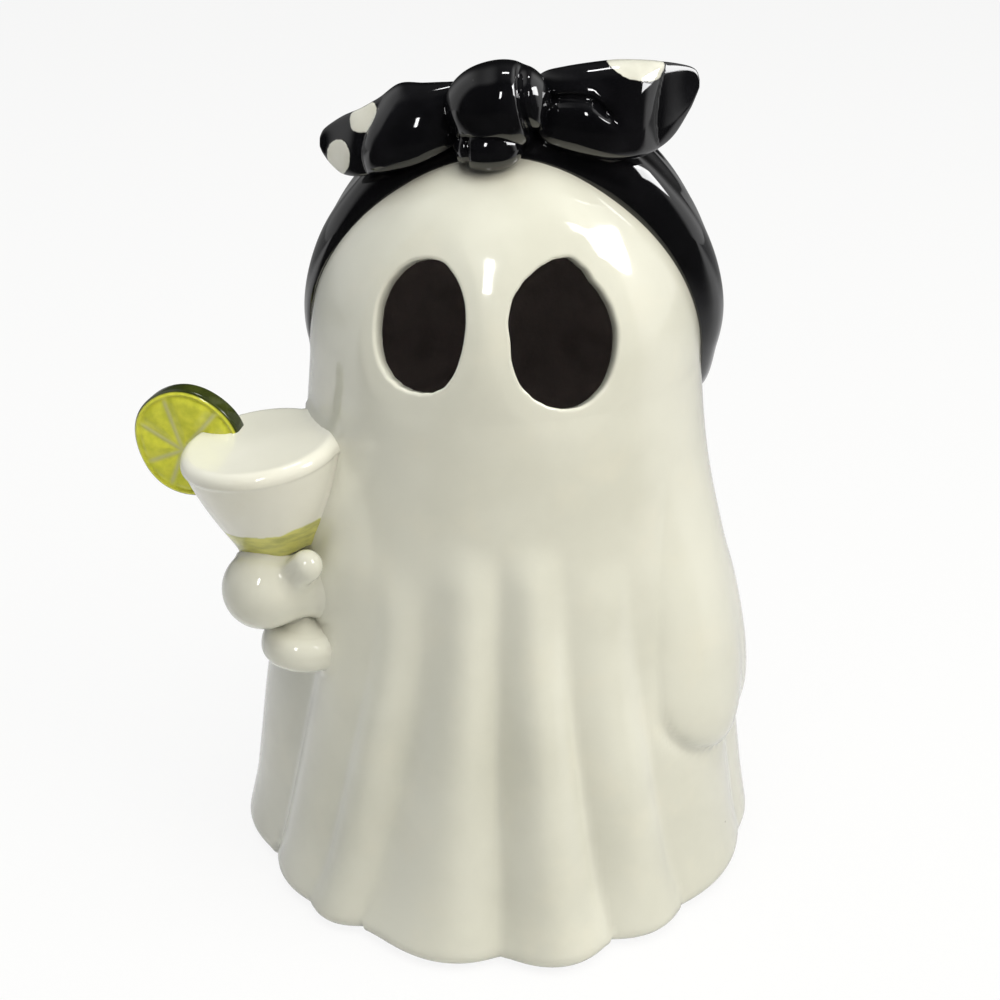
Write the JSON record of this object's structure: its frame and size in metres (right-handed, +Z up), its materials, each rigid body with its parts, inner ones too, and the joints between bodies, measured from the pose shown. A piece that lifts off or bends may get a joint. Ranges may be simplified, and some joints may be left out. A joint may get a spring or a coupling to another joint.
{
  "type": "ceramic ghost figure",
  "caption": "Hollow ceramic sheet-ghost figure with cut-out eyes, a dotted headscarf tied in a bow, a stemmed glass with a lime slice, and a battery light in its base.",
  "frame": {"origin": "on the table under the middle of the head, in the plane of the flat foot ring", "axes": "+Z up, the face towards -Y, the raised glass towards -X"},
  "size_m": [0.1718, 0.1489, 0.2309],
  "materials": {
    "white_glaze": "gloss",
    "black_glaze": "gloss",
    "lime_glaze": "gloss",
    "white_plastic": "satin",
    "grey_foam": "matte",
    "frosted_plastic": "frosted",
    "lamp_plastic": "gloss",
    "black_plastic": "satin",
    "green_board": "satin",
    "plated_steel": "satin",
    "cell_jacket": "gloss",
    "red_wire": "satin"
  },
  "bodies": {
    "figure": {"ghost_body": "white_glaze", "scarf_band": "black_glaze", "bow_knot": "black_glaze", "bow_tuck": "black_glaze", "bow_loop_left": "black_glaze", "bow_loop_right": "black_glaze", "raised_hand": "white_glaze", "glass_bowl": "white_glaze", "glass_stem": "white_glaze", "glass_foot": "white_glaze", "lime_slice": "lime_glaze", "light_housing": "white_plastic", "base_gasket": "grey_foam", "light_dome": "frosted_plastic", "led": "lamp_plastic", "resistor": "black_plastic", "circuit_board": "green_board", "board_screws": "plated_steel", "battery_cells": "cell_jacket", "contact_springs": "plated_steel", "bridge_plates": "plated_steel", "terminal_plates": "plated_steel", "lead_wires": "red_wire", "switch_body": "black_plastic"},
    "door": {"battery_door": "white_plastic"},
    "switch": {"switch_knob": "black_plastic"}
  },
  "joints": [
    {"name": "door_hinge", "type": "hinge", "parent": "figure", "child": "door", "pos_m": [0, -0.02725, 0.0036], "axis": [-1, 0, 0], "range_deg": [0, 75]},
    {"name": "switch_slide", "type": "slide", "parent": "figure", "child": "switch", "axis": [0, 1, 0], "range_m": [0, 0.003]}
  ]
}
